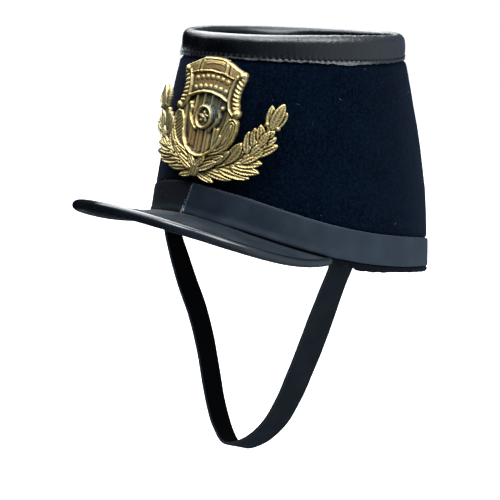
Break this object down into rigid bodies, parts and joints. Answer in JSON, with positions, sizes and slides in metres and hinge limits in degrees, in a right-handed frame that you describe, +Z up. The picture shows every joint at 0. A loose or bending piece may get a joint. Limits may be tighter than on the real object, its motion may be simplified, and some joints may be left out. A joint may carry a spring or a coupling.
{
  "type": "shako hat",
  "caption": "Tall felt shako that widens to its base, with leather top and bands, bound front peak, chin strap loop and wreathed brass badge.",
  "frame": {"origin": "head_seat, the middle of the hat's mouth level with the sides of the base, 133 mm under the flat top", "axes": "+Z up along the crown, square to its flat top; -Y towards the wearer's front and the peak; +X towards the wearer's left"},
  "size_m": [0.1691, 0.2637, 0.2687],
  "materials": {
    "felt": "dark navy wool felt, matt",
    "glossy_leather": "glossy black, fine grain",
    "satin_leather": "satin black",
    "strap_leather": "matt black",
    "brass": "cast, antiqued in the recesses"
  },
  "bodies": {
    "root": {"crown_shell": "felt", "crown_top": "glossy_leather", "top_band": "glossy_leather", "base_band": "satin_leather", "peak": "satin_leather", "peak_binding": "satin_leather", "chin_strap": "strap_leather", "badge": "brass"}
  },
  "joints": []
}
